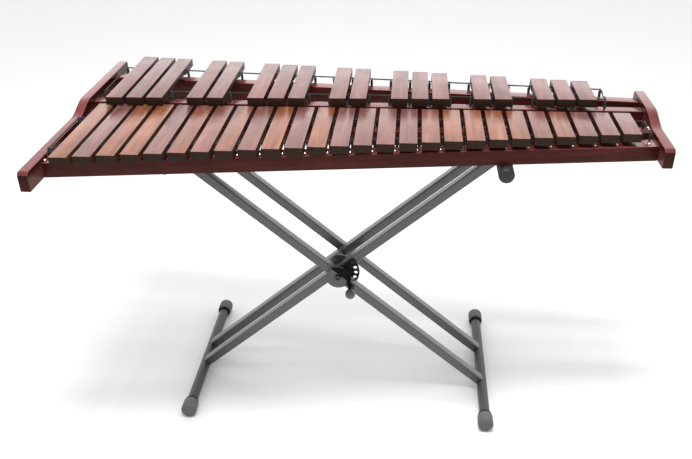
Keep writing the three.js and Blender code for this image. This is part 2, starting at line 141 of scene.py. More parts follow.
# ---------------------------------------------------------------- materials
class Look:
    """A Principled material with helpers for wiring procedural nodes in object space."""

    def __init__(self, name):
        self.material = bpy.data.materials.new(name)
        self.material.use_nodes = True
        self.tree = self.material.node_tree
        self.shader = self.tree.nodes["Principled BSDF"]
        self.coords = self.tree.nodes.new("ShaderNodeTexCoord").outputs["Object"]

    def put(self, socket, value):
        if isinstance(value, bpy.types.NodeSocket):
            self.tree.links.new(value, socket)
        elif hasattr(socket.default_value, "__len__") and len(socket.default_value) == 4 and len(value) == 3:
            socket.default_value = (*value, 1)
        else:
            socket.default_value = value

    def node(self, kind, inputs, output=0, **settings):
        made = self.tree.nodes.new("ShaderNode" + kind)
        for key, value in settings.items():
            setattr(made, key, value)
        for key, value in inputs.items():
            self.put(made.inputs[key], value)
        return made.outputs[output]

    def set(self, **inputs):
        for key, value in inputs.items():
            self.put(self.shader.inputs[key.replace("_", " ")], value)

    def stretched(self, scale, shift=None):
        inputs = {"Vector": self.coords, "Scale": scale}
        if shift is not None:
            inputs["Location"] = shift
        return self.node("Mapping", inputs)

    def noise(self, scale, detail=4.0, rough=0.55, vector=None, distort=0.0):
        vector = self.coords if vector is None else vector
        inputs = {"Vector": vector, "Scale": scale, "Detail": detail, "Roughness": rough}
        return self.node("TexNoise", {**inputs, "Distortion": distort}, "Fac")

    def ramp(self, value, stops):
        made = self.tree.nodes.new("ShaderNodeValToRGB")
        self.put(made.inputs["Fac"], value)
        elements = made.color_ramp.elements
        while len(elements) < len(stops):
            elements.new(0.5)
        for element, (place, colour) in zip(elements, stops):
            element.position = place
            element.color = (*colour, 1) if len(colour) == 3 else colour
        return made.outputs["Color"]

    def span(self, value, low, high, start=0.0, end=1.0):
        inputs = {"Value": value, "From Min": start, "From Max": end, "To Min": low, "To Max": high}
        return self.node("MapRange", inputs)

    def maths(self, kind, first, second):
        return self.node("Math", {0: first, 1: second}, operation=kind)

    def mix(self, share, first, second, kind="MIX"):
        made = self.tree.nodes.new("ShaderNodeMix")
        made.data_type = "RGBA"
        made.blend_type = kind
        self.put(made.inputs[0], share)
        self.put(made.inputs[6], first)
        self.put(made.inputs[7], second)
        return made.outputs[2]

    def attribute(self, name):
        return self.node("Attribute", {}, "Fac", attribute_name=name)

    def bump(self, height, strength, distance):
        self.set(Normal=self.node("Bump", {"Height": height, "Strength": strength, "Distance": distance}))


def wood_look(name, along, tones, rough, coat, shine, grain=1.0, edge=None, toned=False):
    """Wood whose grain runs along X or Y. tones is its dark, middle and light colour, and shine the
    specular level and tint. A toned wood also follows the object's "tone", which shifts its pattern too."""
    look = Look(name)
    dark, middle, light = tones

    def scales(long_way, across):
        return (long_way, across, across) if along == "X" else (across, long_way, across)

    shift = None
    if toned:
        tone = look.attribute("tone")
        places = {"X": look.maths("MULTIPLY", tone, 31.0), "Y": look.maths("MULTIPLY", tone, 17.0)}
        shift = look.node("CombineXYZ", places)
    streaks = look.noise(1.0, 6, 0.62, look.stretched(scales(5 * grain, 95 * grain), shift), 0.6)
    broad = look.noise(1.0, 3, 0.5, look.stretched(scales(4, 14), shift), 1.2)
    pores = look.noise(1.0, 2, 0.5, look.stretched(scales(30, 700)))
    colour = look.ramp(streaks, [(0.28, dark), (0.5, middle), (0.72, light)])
    colour = look.mix(look.span(broad, 0.0, 0.75, 0.4, 0.75), colour, dark)
    colour = look.mix(look.span(pores, 0.0, 0.55, 0.56, 0.74), colour, tuple(0.35 * c for c in dark))
    if toned:
        inputs = {
            "Color": colour,
            "Hue": look.span(tone, 0.480, 0.520),
            "Saturation": look.span(tone, 0.70, 1.14),
            "Value": look.span(tone, 0.80, 1.22),
        }
        colour = look.node("HueSaturation", inputs)
    # edge is the colour of a painted highlight along the sharp edges, where pointiness is high.
    if edge is not None:
        edge_highlight = look.span(look.node("NewGeometry", {}, "Pointiness"), 0.0, 0.6, 0.53, 0.62)
        colour = look.mix(edge_highlight, colour, edge)
    look.set(
        Base_Color=colour,
        Roughness=look.span(look.noise(22.0, 5), rough - 0.06, rough + 0.08, 0.3, 0.7),
        Coat_Weight=coat,
        Coat_Roughness=0.16,
        Specular_IOR_Level=shine[0],
        Specular_Tint=shine[1],
    )
    look.bump(look.mix(0.35, streaks, pores), 0.22, 0.0004)
    return look.material


def end_grain_look(name, colour, rough):
    """Growth rings with open pores."""
    look = Look(name)
    rings = look.node(
        "TexWave",
        {"Vector": look.coords, "Scale": 95.0, "Distortion": 7.0, "Detail": 3.0, "Detail Scale": 1.6},
        "Fac",
        bands_direction="Z",
    )
    specks = look.noise(900.0, 2)
    shade = look.ramp(rings, [(0.1, tuple(0.55 * c for c in colour)), (0.8, colour)])
    shade = look.mix(look.span(specks, 0.0, 0.6, 0.5, 0.7), shade, tuple(0.3 * c for c in colour))
    look.set(Base_Color=shade, Roughness=look.span(specks, rough, rough + 0.15), Specular_IOR_Level=0.12)
    look.bump(specks, 0.15, 0.0003)
    return look.material


def plain_look(name, colour, metal, rough, cloudy, size=420.0, depth=0.0002, coat=0.0, fleck=0.1, gloss=0.5):
    """Paint, plastic, rubber or bare metal: cloudy, lighter on its edges as a painted highlight, and grained
    with dark flecks.
    """
    look = Look(name)
    grain = look.noise(size, 3)
    cloud = look.noise(9.0, 4)
    paler = tuple(min(1.0, 1.55 * c) for c in colour)
    # A painted highlight on the sharp edges, where pointiness is high.
    highlight_colour = tuple(min(1.0, 2.4 * c + 0.03) for c in colour)
    shade = look.mix(look.span(cloud, 0.0, cloudy, 0.3, 0.75), colour, paler)
    edge_highlight = look.span(look.node("NewGeometry", {}, "Pointiness"), 0.0, 0.5, 0.54, 0.65)
    shade = look.mix(edge_highlight, shade, highlight_colour)
    shade = look.mix(look.span(grain, 0.0, fleck, 0.50, 0.62), shade, tuple(0.35 * c for c in colour))
    look.set(
        Base_Color=shade,
        Metallic=metal,
        Roughness=look.span(grain, rough - 0.05, rough + 0.09, 0.3, 0.7),
        Coat_Weight=coat,
        Specular_IOR_Level=gloss,
    )
    look.bump(grain, 0.25, depth)
    return look.material


def cord_look():
    look = Look("braided_cord")
    waves = {"Vector": look.coords, "Scale": 260.0, "Distortion": 1.5}
    braid = look.node("TexWave", waves, "Fac", bands_direction="DIAGONAL")
    fuzz = look.noise(1600.0, 2)
    shade = look.ramp(braid, [(0.15, (0.004, 0.004, 0.004)), (0.9, (0.035, 0.033, 0.032))])
    shade = look.mix(look.span(fuzz, 0.0, 0.5, 0.45, 0.7), shade, (0.07, 0.066, 0.063))
    look.set(Base_Color=shade, Roughness=0.85)
    look.bump(braid, 0.6, 0.0004)
    return look.material


PINK = (1.0, 0.82, 0.80)
BAR = wood_look(
    "bar_rosewood",
    "Y",
    [(0.088, 0.026, 0.018), (0.185, 0.054, 0.036), (0.27, 0.088, 0.056)],
    rough=0.30,
    coat=0.0,
    shine=(0.80, (1.0, 0.76, 0.72)),
    toned=True,
)
# A darker copy of the bar wood for the bars' sides and undersides: painted shade between the close-set bars.
BAR_SIDE_SHADE = wood_look(
    "bar_side_painted_shade",
    "Y",
    [(0.024, 0.008, 0.005), (0.050, 0.017, 0.010), (0.072, 0.028, 0.017)],
    rough=0.45,
    coat=0.0,
    shine=(0.25, PINK),
    toned=True,
)
# The bars' end grain: darker than the face wood, and darkened further as painted shade on the bars' ends.
BAR_END = end_grain_look("bar_end_grain_and_shade", (0.042, 0.021, 0.013), 0.5)
# The rails' edge colour is a painted highlight along their sharp edges.
RAIL = wood_look(
    "rail_mahogany",
    "X",
    [(0.085, 0.015, 0.014), (0.150, 0.027, 0.024), (0.205, 0.042, 0.037)],
    rough=0.20,
    coat=0.05,
    shine=(0.8, PINK),
    grain=0.8,
    edge=(0.24, 0.065, 0.055),
)
# A darker copy of the rail wood for the faces that don't look up: painted shade. Its edge colour is a painted
# highlight.
RAIL_SHADED_SIDE = wood_look(
    "rail_side",
    "X",
    [(0.034, 0.006, 0.005), (0.062, 0.011, 0.008), (0.090, 0.020, 0.015)],
    rough=0.32,
    coat=0.0,
    shine=(0.15, PINK),
    grain=0.8,
    edge=(0.14, 0.045, 0.035),
)
# The end pieces' edge colour is a painted highlight along their sharp edges and the nose.
END_PIECE = wood_look(
    "end_piece_mahogany",
    "Y",
    [(0.085, 0.012, 0.012), (0.150, 0.022, 0.022), (0.205, 0.036, 0.034)],
    rough=0.20,
    coat=0.03,
    shine=(0.48, PINK),
    grain=0.8,
    edge=(0.36, 0.13, 0.10),
)
# A much darker copy of the end piece wood for the faces that don't look up: painted shade. Its edge colour is
# a painted highlight.
END_SHADED_SIDE = wood_look(
    "end_piece_side_painted_shade",
    "Y",
    [(0.012, 0.003, 0.002), (0.023, 0.005, 0.004), (0.038, 0.010, 0.008)],
    rough=0.26,
    coat=0.0,
    shine=(0.12, PINK),
    grain=0.8,
    edge=(0.14, 0.048, 0.040),
)
STAND_PAINT = (0.058, 0.059, 0.061)
STAND = plain_look(
    "charcoal_powder_coat", STAND_PAINT, 0.15, 0.26, 0.3, size=380.0, depth=0.0003, fleck=0.6, gloss=0.8
)
# The foot bars wear the same paint as the stand; this darker copy is painted shade.
FOOT_PAINT_SHADED = plain_look(
    "foot_paint_painted_shade", (0.030, 0.030, 0.032), 0.1, 0.34, 0.3, size=380.0, depth=0.0003, fleck=0.4, gloss=0.3
)
CAP = plain_look("grey_rubber", (0.088, 0.089, 0.091), 0.0, 0.62, 0.35, size=260.0, depth=0.0004)
BLACK_RUBBER = plain_look("black_rubber", (0.016, 0.016, 0.017), 0.0, 0.55, 0.4, size=300.0, depth=0.0004)
COVER = plain_look(
    "matt_black_cover", (0.004, 0.004, 0.0042), 0.0, 0.55, 0.4, size=350.0, depth=0.00015, gloss=0.08
)
BLACK_PLASTIC = plain_look(
    "black_plastic", (0.006, 0.006, 0.0065), 0.0, 0.48, 0.4, size=350.0, depth=0.00015, gloss=0.15
)
KNOB = plain_look("knob_plastic", (0.075, 0.075, 0.078), 0.0, 0.24, 0.4, size=350.0, depth=0.00015, coat=0.3)
BLACK_STEEL = plain_look("black_steel", (0.010, 0.010, 0.0105), 0.3, 0.42, 0.3, gloss=0.25)
ZINC = plain_look("zinc_plate", (0.07, 0.07, 0.073), 0.6, 0.42, 0.2, size=300.0, depth=0.0001)
NICKEL = plain_look("nickel", (0.72, 0.70, 0.68), 0.9, 0.22, 0.1, size=300.0, depth=0.00005)
CORD = cord_look()


# ---------------------------------------------------------------- mesh helpers
def piece(name, bm, materials, body, replaces=()):
    """Makes a named piece of the mesh: it moves with body, and takes the given materials."""
    bmesh.ops.recalc_face_normals(bm, faces=bm.faces)
    mesh = bpy.data.meshes.new(name)
    bm.to_mesh(mesh)
    bm.free()
    for material in materials:
        mesh.materials.append(material)
    mesh.shade_smooth()
    mesh.set_sharp_from_angle(angle=SHARP_ANGLE)
    made = bpy.data.objects.new(name, mesh)
    bpy.context.scene.collection.objects.link(made)
    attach(made, body)
    if replaces:
        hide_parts(*replaces)
    return made


def tone_of(made, value):
    """Stores the tone that the bars' wood reads."""
    tone = made.data.attributes.new("tone", "FLOAT", "POINT")
    tone.data.foreach_set("value", [value] * len(made.data.vertices))


def slab(bm, loops, offset, place):
    """Fills flat loops of (u, v), maps them to 3-D with place(u, v), and extrudes the face by offset."""
    verts, edges = [], []
    for loop in loops:
        ring = [bm.verts.new(place(u, v)) for u, v in loop]
        edges += [bm.edges.new((ring[i - 1], ring[i])) for i in range(len(ring))]
        verts += ring
    filled = bmesh.ops.triangle_fill(bm, use_beauty=True, edges=edges)["geom"]
    faces = [g for g in filled if isinstance(g, bmesh.types.BMFace)]
    bmesh.ops.dissolve_limit(bm, angle_limit=0.001, verts=[], edges=list({e for f in faces for e in f.edges}))
    faces = list({f for v in verts for f in v.link_faces})
    grown = bmesh.ops.extrude_face_region(bm, geom=faces)["geom"]
    far = [g for g in grown if isinstance(g, bmesh.types.BMVert)]
    bmesh.ops.translate(bm, verts=far, vec=offset)
    bmesh.ops.recalc_face_normals(bm, faces=bm.faces)
    return far


def soften(bm, width, angle=30, segments=2, keep=lambda e: True):
    """Bevels the edges that turn by more than angle degrees, as far as keep accepts them."""
    turning = [e for e in bm.edges if len(e.link_faces) == 2 and e.calc_face_angle() > math.radians(angle)]
    bmesh.ops.bevel(
        bm,
        geom=[e for e in turning if keep(e)],
        offset=width,
        segments=segments,
        profile=0.6,
        affect="EDGES",
        clamp_overlap=True,
        offset_type="OFFSET",
    )


def mm(*points):
    """Points given in millimetres."""
    return [(a * MM, b * MM) for a, b in points]


def arc(u, v, radius, angles):
    return [(u + radius * math.cos(a), v + radius * math.sin(a)) for a in angles]


def circle(u, v, radius, sides):
    return arc(u, v, radius, [TAU * i / sides for i in range(sides)])


def spokes(side, other, sides):
    """Vectors that point outwards all round, for a start along side and a quarter turn on along other."""
    turns = [TAU * i / sides for i in range(sides)]
    return [math.cos(t) * side + math.sin(t) * other for t in turns]


def turned(bm, profile, centre, axis, sides=40):
    """A closed lathe: profile is (distance along the axis, radius), from pole to pole."""
    axis = Vector(axis).normalized()
    side = axis.orthogonal().normalized()
    ways = spokes(side, axis.cross(side), sides)
    rings = []
    for along, radius in profile:
        hub = Vector(centre) + axis * along
        if radius < 1e-7:
            rings.append([bm.verts.new(hub)])
        else:
            rings.append([bm.verts.new(hub + radius * way) for way in ways])
    for a, b in zip(rings, rings[1:]):
        for i in range(sides):
            j = (i + 1) % sides
            corners = [a[i % len(a)], a[j % len(a)], b[j % len(b)], b[i % len(b)]]
            corners = list(dict.fromkeys(corners))
            if len(corners) > 2:
                bm.faces.new(corners)


def rod(bm, start, axis, radius, length, sides):
    """A plain round bar with flat ends."""
    turned(bm, [(0, 0), (0, radius), (length, radius), (length, 0)], start, axis, sides)


def ring(bm, profile, centre, axis, sides=40):
    """A closed ring: profile is a closed loop of (distance along the axis, radius)."""
    axis = Vector(axis).normalized()
    side = axis.orthogonal().normalized()
    rows = []
    for way in spokes(side, axis.cross(side), sides):
        rows.append([bm.verts.new(Vector(centre) + axis * along + way * radius) for along, radius in profile])
    for i in range(sides):
        for k in range(len(profile)):
            bm.faces.new((rows[i - 1][k - 1], rows[i - 1][k], rows[i][k], rows[i][k - 1]))


def sweep(bm, points, radius, sides):
    """A round rod along an open polyline, with flat ends."""
    points = [Vector(p) for p in points]
    rows, side = [], None
    for i, point in enumerate(points):
        before = points[i - 1] if i else point
        after = points[i + 1] if i + 1 < len(points) else point
        along = (after - before).normalized()
        side = along.orthogonal() if side is None else side - along * side.dot(along)
        side.normalize()
        rows.append([bm.verts.new(point + radius * way) for way in spokes(side, along.cross(side), sides)])
    for a, b in zip(rows, rows[1:]):
        for k in range(sides):
            bm.faces.new((a[k - 1], a[k], b[k], b[k - 1]))
    bm.faces.new(rows[0])
    bm.faces.new(rows[-1])


def cut(made, *cutters):
    """Subtracts each cutter mesh from the piece, then deletes the cutter."""
    for bm in cutters:
        bmesh.ops.recalc_face_normals(bm, faces=bm.faces)
        mesh = bpy.data.meshes.new("cutter")
        bm.to_mesh(mesh)
        bm.free()
        tool = bpy.data.objects.new("cutter", mesh)
        bpy.context.scene.collection.objects.link(tool)
        change = made.modifiers.new("cut", "BOOLEAN")
        change.operation, change.solver, change.object = "DIFFERENCE", "EXACT", tool
        bpy.context.view_layer.update()
        result = bpy.data.meshes.new_from_object(made.evaluated_get(bpy.context.evaluated_depsgraph_get()))
        made.modifiers.clear()
        made.data = result
        bpy.data.objects.remove(tool)
    made.data.shade_smooth()
    made.data.set_sharp_from_angle(angle=SHARP_ANGLE)


def drill(centre, radius, sides=32):
    """A cutter for a round hole along y, at centre in (x, z)."""
    bm = bmesh.new()
    rod(bm, (centre[0], -DRILL_REACH, centre[1]), ALONG_Y, radius, 2 * DRILL_REACH, sides)
    return bm


# ---------------------------------------------------------------- sizes, in metres, read from the CAD
class Line:
    """A straight line y = a + b x, in plan."""

    def __init__(self, a, b):
        self.a, self.b = a, b

    def __call__(self, x):
        return self.a + self.b * x

    def between(self, other, share):
        return Line(self.a + (other.a - self.a) * share, self.b + (other.b - self.b) * share)


def middle(node, axis):
    low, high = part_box(node)
    return (low[axis] + high[axis]) / 2


def line_through(first, last, end):
    """The line that the bars' near (end 0) or far (end 1) ends lie on."""
    xs = [middle(n, 0) for n in (first, last)]
    ys = [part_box(n)[end].y for n in (first, last)]
    slope = (ys[1] - ys[0]) / (xs[1] - xs[0])
    return Line(ys[0] - slope * xs[0], slope)


ROWS = {}
for kind, count in (("natural", 26), ("accidental", 18)):
    names = [f"{kind}_bar_{i:02d}" for i in range(1, count + 1)]
    front = line_through(names[0], names[-1], 0)
    rear = line_through(names[0], names[-1], 1)
    low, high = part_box(names[0])
    ROWS[kind] = {
        "names": names,
        "front": front,
        "rear": rear,
        "nodes": [front.between(rear, NODE_SHARE), front.between(rear, 1 - NODE_SHARE)],
        "cord_z": high.z - CORD_DEPTH,
        "xs": [middle(n, 0) for n in names],
    }
PITCH = ROWS["natural"]["xs"][1] - ROWS["natural"]["xs"][0]


# ---------------------------------------------------------------- bars
def bar(name, row, tone):
    """A bar with eased edges, hollowed underneath, with a cord hole along each node line."""
    low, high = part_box(name)
    width, length = high.x - low.x, high.y - low.y
    bottom = high.z - BAR_THICKNESS
    share = (length - SHORTEST_BAR) / (LONGEST_BAR - SHORTEST_BAR)
    arch = ARCH_SHALLOW + (ARCH_DEEP - ARCH_SHALLOW) * share
    start = low.y + length * NODE_SHARE + ARCH_MARGIN
    end = high.y - length * NODE_SHARE - ARCH_MARGIN
    outline = [(low.y, bottom), (start, bottom)]
    for i in range(1, ARCH_STEPS):
        t = i / ARCH_STEPS
        outline.append((start + (end - start) * t, bottom + 4 * arch * t * (1 - t)))
    outline += [(end, bottom), (high.y, bottom), (high.y, high.z), (low.y, high.z)]
    holes = [circle(line(low.x), row["cord_z"], CORD_HOLE_RADIUS, 16) for line in row["nodes"]]
    bm = bmesh.new()
    far = slab(bm, [outline, *holes], (width, 0, 0), lambda u, v: (low.x, u, v))

    def on_rim(vert, line, x):
        return math.hypot(vert.co.y - line(x), vert.co.z - row["cord_z"]) < CORD_HOLE_RIM

    for line in row["nodes"]:
        for vert in far:
            if on_rim(vert, line, low.x):
                vert.co.y += line.b * width

    def off_rims(edge):
        return not any(on_rim(vert, line, vert.co.x) for vert in edge.verts for line in row["nodes"])

    soften(bm, BAR_EDGE, keep=off_rims)
    # End faces take the end grain colour, which is partly painted shade; faces that don't look up take the
    # darker side wood, which is painted shade.
    for face in bm.faces:
        at_end = min(abs(face.calc_center_median().y - y) for y in (low.y, high.y)) < MM
        if abs(face.normal.y) > 0.9 and at_end:
            face.material_index = 1
        elif face.normal.z < 0.5:
            face.material_index = 2
    made = piece("shown_" + name, bm, [BAR, BAR_END, BAR_SIDE_SHADE], "keyboard", [name])
    tone_of(made, tone)


# The wood varies from bar to bar: a tone of 0 is dark and pinkish, 1 is light and golden.
TONES = {f"natural_bar_{i:02d}": WARM_TONE for i in WARM_NATURALS}
TONES.update({f"natural_bar_{i:02d}": GREY_TONE for i in GREY_NATURALS})
TONES.update({name: ACCIDENTAL_TONE_SPREAD * random.random() for name in ROWS["accidental"]["names"]})
for kind, row in ROWS.items():
    for name in row["names"]:
        bar(name, row, TONES.get(name, PLAIN_TONE + PLAIN_TONE_SPREAD * random.random()))


# ---------------------------------------------------------------- rails and end pieces
def sides_in_painted_shade(bm):
    """Gives the faces that don't look up the piece's second material: a darker, less polished copy of the
    wood, whose darkness is painted shade.
    """
    for face in bm.faces:
        face.material_index = int(face.normal.z < 0.25)


for name, top in RAIL_TOPS.items():
    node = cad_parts[name]
    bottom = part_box(name)[0].z
    lowest = [v.co for v in node.data.vertices if abs(v.co.z - bottom) < 1e-5]
    corners = {(round(co.x, 5), round(co.y, 5)) for co in lowest}
    left_x, right_x = min(c[0] for c in corners), max(c[0] for c in corners)
    left = sorted(y for x, y in corners if x == left_x)
    right = sorted(y for x, y in corners if x == right_x)
    plan = [(left_x, left[0]), (right_x, right[0]), (right_x, right[-1]), (left_x, left[-1])]
    bm = bmesh.new()
    slab(bm, [plan], (0, 0, top - bottom), lambda u, v: (u, v, bottom))
    soften(bm, RAIL_EDGE, segments=3)
    sides_in_painted_shade(bm)
    piece("shown_" + name, bm, [RAIL, RAIL_SHADED_SIDE], "keyboard", [name])


def end_piece(name):
    """A board with an S-shaped step down to the front, a round nose and a rounded rear corner."""
    low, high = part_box(name)
    front, rear, bottom, top = low.y, high.y, low.z, high.z
    low_top = bottom + END_LOW_HEIGHT
    outline = [(front + END_CHAMFER, bottom), (rear, bottom), (rear, top - END_REAR_ROUND)]
    outline += arc(rear - END_REAR_ROUND, top - END_REAR_ROUND, END_REAR_ROUND, (0.4, 0.8, 1.2))
    outline += [(rear - END_REAR_ROUND, top)]
    for i in range(END_STEP_STEPS + 1):
        t = i / END_STEP_STEPS
        eased = t * t * (3 - 2 * t)
        y = END_STEP_REAR + (END_STEP_FRONT - END_STEP_REAR) * t
        outline.append((y, top - (top - low_top) * eased))
    nose_turns = [math.pi / 2 * (1 + i / END_NOSE_STEPS) for i in range(END_NOSE_STEPS + 1)]
    outline += arc(front + END_NOSE, low_top - END_NOSE, END_NOSE, nose_turns)
    outline.append((front, bottom + END_CHAMFER))
    bm = bmesh.new()
    slab(bm, [outline], (high.x - low.x, 0, 0), lambda u, v: (low.x, u, v))
    soften(bm, END_EDGE, segments=3, keep=lambda e: abs(e.verts[0].co.x - e.verts[1].co.x) < 1e-6)
    sides_in_painted_shade(bm)
    piece("shown_" + name, bm, [END_PIECE, END_SHADED_SIDE], "keyboard", [name])


end_piece("left_end_piece")
end_piece("right_end_piece")


# ---------------------------------------------------------------- posts and cords
def post_xs(kind):
    """Each post's x and radius: one in every gap between bars, with a row's end posts farther out."""
    xs = ROWS[kind]["xs"]
    lines = []
    for i, x in enumerate(xs):
        if i == 0 or x - xs[i - 1] > 1.5 * PITCH:
            lines.append(x - PITCH / 2)
        lines.append(x + PITCH / 2)
    lines[0], lines[-1] = xs[0] - END_POST_REACH, xs[-1] + END_POST_REACH
    pair = [lines.pop(PAIR_GAP)] if kind == "natural" else []
    doubled = [(x + side * PAIR_SPREAD, PAIR_SLEEVE_RADIUS) for x in pair for side in (-1, 1)]
    return [(x, SLEEVE_RADIUS) for x in lines] + doubled


def posts(kind, line, rail):
    """Steel pins in black sleeves, each with a washer at its foot and an open eye round the cord."""
    base, cord_z = RAIL_TOPS[rail], ROWS[kind]["cord_z"]
    height = cord_z - SLEEVE_BELOW_CORD - base
    turns = [math.radians(degrees) for degrees in range(-150, 151, 25)]
    sleeves, metal = bmesh.new(), bmesh.new()
    for x, radius in post_xs(kind):
        y = line(x)
        shoulder = [(height - 1.5 * MM, radius), (height - 0.4 * MM, 0.75 * radius)]
        profile = [(0, 0), (0, radius), *shoulder, (height, 0)]
        turned(sleeves, profile, (x, y, base + SLEEVE_LIFT), UPWARD, 16)
        eye = [(x, y + EYE_RADIUS * math.sin(a), cord_z - EYE_RADIUS * math.cos(a)) for a in turns]
        sweep(sleeves, eye, EYE_WIRE, 8)
        rod(metal, (x, y, base), UPWARD, min(radius + WASHER_RIM, WASHER_RADIUS), WASHER_THICKNESS, 20)
        if rail == "natural_front_rail":
            pin_head = mm((0, 0), (0, 3.6), (1.6, 3.3), (2.6, 2.0), (3.0, 0))
            turned(metal, pin_head, (x - PIN_ASIDE, y - PIN_AHEAD, base), UPWARD, 20)
    piece(rail.replace("rail", "post_sleeves"), sleeves, [BLACK_RUBBER], "keyboard")
    piece(rail.replace("rail", "post_washers"), metal, [NICKEL], "keyboard")


for kind, row in ROWS.items():
    for line, place in zip(row["nodes"], ("front", "rear")):
        posts(kind, line, f"{kind}_{place}_rail")


def rounded(points, radius, steps=6):
    """The polyline with its inner corners rounded."""
    points = [Vector(p) for p in points]
    path = [points[0]]
    for before, corner, after in zip(points, points[1:], points[2:]):
        start = corner + (before - corner).normalized() * radius
        end = corner + (after - corner).normalized() * radius
        for i in range(steps + 1):
            t = i / steps
            path.append(start * (1 - t) ** 2 + corner * 2 * t * (1 - t) + end * t * t)
    return path + [points[-1]]


def cord(kind):
    """A row's cord: from the treble end along the rear, across, along the front and back to a spring."""
    row = ROWS[kind]
    front, rear = row["nodes"]
    xs = sorted(x for x, _ in post_xs(kind))
    left, right, z = xs[0], xs[-1], row["cord_z"]
    path = [
        (right - MM, rear(right), z),
        (left, rear(left), z),
        (left, front(left), z),
        (right, front(right), z),
        (right, rear(right) - CORD_END_GAP, z),
    ]
    bm = bmesh.new()
    sweep(bm, rounded(path, CORD_BEND), CORD_RADIUS, 14)
    piece("shown_" + kind + "_cord", bm, [CORD], "keyboard", [kind + "_cord"])
    knot = bmesh.new()
    bead = mm((0, 0), (0.4, 2.0), (2.2, 3.1), (5, 3.1), (6.6, 2.0), (7, 0))
    turned(knot, bead, (right, rear(right) - CORD_END_GAP, z), ALONG_Y, 20)
    coil = []
    for i in range(SPRING_STEPS + 1):
        t = i / SPRING_STEPS
        a = t * SPRING_TURNS * TAU
        y = front(right) + CORD_END_GAP + SPRING_LENGTH * t
        coil.append((right + SPRING_RADIUS * math.cos(a), y, z + SPRING_RADIUS * math.sin(a)))
    spring = bmesh.new()
    sweep(spring, coil, SPRING_WIRE, 8)
    piece(kind + "_cord_knot", knot, [BLACK_RUBBER], "keyboard")
    piece(kind + "_cord_spring", spring, [NICKEL], "keyboard")


cord("natural")
cord("accidental")


# ---------------------------------------------------------------- stand
LEFT = Vector((middle("left_foot_bar", 0), 0, middle("left_foot_bar", 2)))
RIGHT = Vector((middle("right_foot_bar", 0), 0, middle("right_foot_bar", 2)))
STAND_Y = middle("left_foot_bar", 1)
PIVOT = (middle("pivot_bolt", 0), middle("pivot_bolt", 2))
ARM_Z = 2 * PIVOT[1] - LEFT.z
SLOPE = math.atan2(ARM_Z - LEFT.z, RIGHT.x - LEFT.x)
HUB_FACE = STAND_Y - LEG_Y["outer"] - LEG_WIDTH / 2 - PLATE


def leg_tube(name, foot, arm_end, y, body, replaces=()):
    """A hollow tube of rounded square section from the foot bar's axis to the arm's axis."""
    start, end = Vector((foot.x, y, foot.z)), Vector((arm_end.x, y, arm_end.z))
    along = (end - start).normalized()
    up = Vector(ALONG_Y).cross(along)
    loops = []
    for inset, corner in ((0, LEG_CORNER), (LEG_WALL, LEG_INNER_CORNER)):
        half_width, half_height = LEG_WIDTH / 2 - inset - corner, LEG_HEIGHT / 2 - inset - corner
        loop = []
        for quarter, (side_y, side_z) in enumerate(((1, 1), (-1, 1), (-1, -1), (1, -1))):
            turns = [TAU / 4 * (quarter + i / 4) for i in range(5)]
            loop += arc(side_y * half_width, side_z * half_height, corner, turns)
        loops.append(loop)
    bm = bmesh.new()
    rows = []
    for place in (start, end):
        for loop in loops:
            rows.append([bm.verts.new(place + Vector((0, u, 0)) + up * v) for u, v in loop])
    outer_a, inner_a, outer_b, inner_b = rows
    for a, b in ((outer_a, outer_b), (inner_b, inner_a), (inner_a, outer_a), (outer_b, inner_b)):
        for i in range(len(a)):
            bm.faces.new((a[i - 1], a[i], b[i], b[i - 1]))
    made = piece(name, bm, [STAND], body, replaces)
    foot_cut = drill((foot.x, foot.z), FOOT_SADDLE, 64)
    arm_cut = drill((arm_end.x, arm_end.z), ARM_SADDLE, 64)
    cut(made, foot_cut, drill(PIVOT, BOLT_HOLE), arm_cut)


def sleeve_profile():
    """From the tip inwards: a domed end, five shallow grooves and a hollow mouth."""
    radius, length = ARM_SLEEVE_RADIUS, ARM_SLEEVE_LENGTH
    dome = mm((0, 7), (1.2, 3.5), (3.6, 1.2), (7, 0.1), (9, 0))
    groove = mm((0, 0), (0.8, 0.8), (2.2, 0.8), (3, 0))
    profile = [(0, 0)] + [(along, radius - depth) for along, depth in dome]
    for i in range(GROOVES):
        start = GROOVE_START + GROOVE_STEP * i
        profile += [(start + along, radius - depth) for along, depth in groove]
    profile += [(length - 2 * MM, radius), (length - 0.5 * MM, radius - 1.5 * MM)]
    return profile + [(length, 12.8 * MM), (length, 12.4 * MM), (length - 2 * MM, 0)]


def arm(name, x, body):
    """The cross tube under the keyboard, with a rubber sleeve at each end."""
    tube = bmesh.new()
    rod(tube, (x, STAND_Y - ARM_TUBE_REACH, ARM_Z), ALONG_Y, TUBE_RADIUS, 2 * ARM_TUBE_REACH, 48)
    piece(name + "_tube", tube, [STAND], body)
    for side, word in ((-1, "front"), (1, "rear")):
        bm = bmesh.new()
        turned(bm, sleeve_profile(), (x, STAND_Y + side * ARM_REACH, ARM_Z), (0, -side, 0), 48)
        piece(f"{name}_{word}_sleeve", bm, [BLACK_RUBBER], body)


